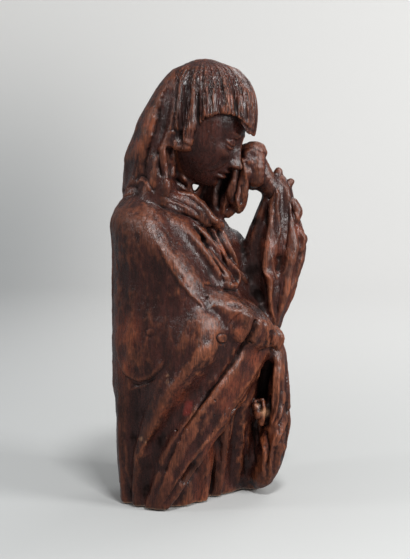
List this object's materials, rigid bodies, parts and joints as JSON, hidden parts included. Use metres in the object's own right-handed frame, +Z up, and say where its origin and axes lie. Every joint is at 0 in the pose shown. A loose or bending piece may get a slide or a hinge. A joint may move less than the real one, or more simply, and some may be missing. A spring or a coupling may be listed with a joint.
{
  "type": "carved wooden saint statue",
  "caption": "Half-length mourning saint carved from one block of dark waxed wood, head bowed to a raised hand, with a cut flat underside to stand on.",
  "frame": {"origin": "centre of the bounding box, on the underside", "axes": "+Z up, the figure's chest towards -Y, its right side towards -X"},
  "size_m": [0.2012, 0.1854, 0.499],
  "materials": {
    "waxed_wood": "dark waxed, worn lighter on the ridges"
  },
  "bodies": {
    "root": {"carved_figure": "waxed_wood"}
  },
  "joints": []
}
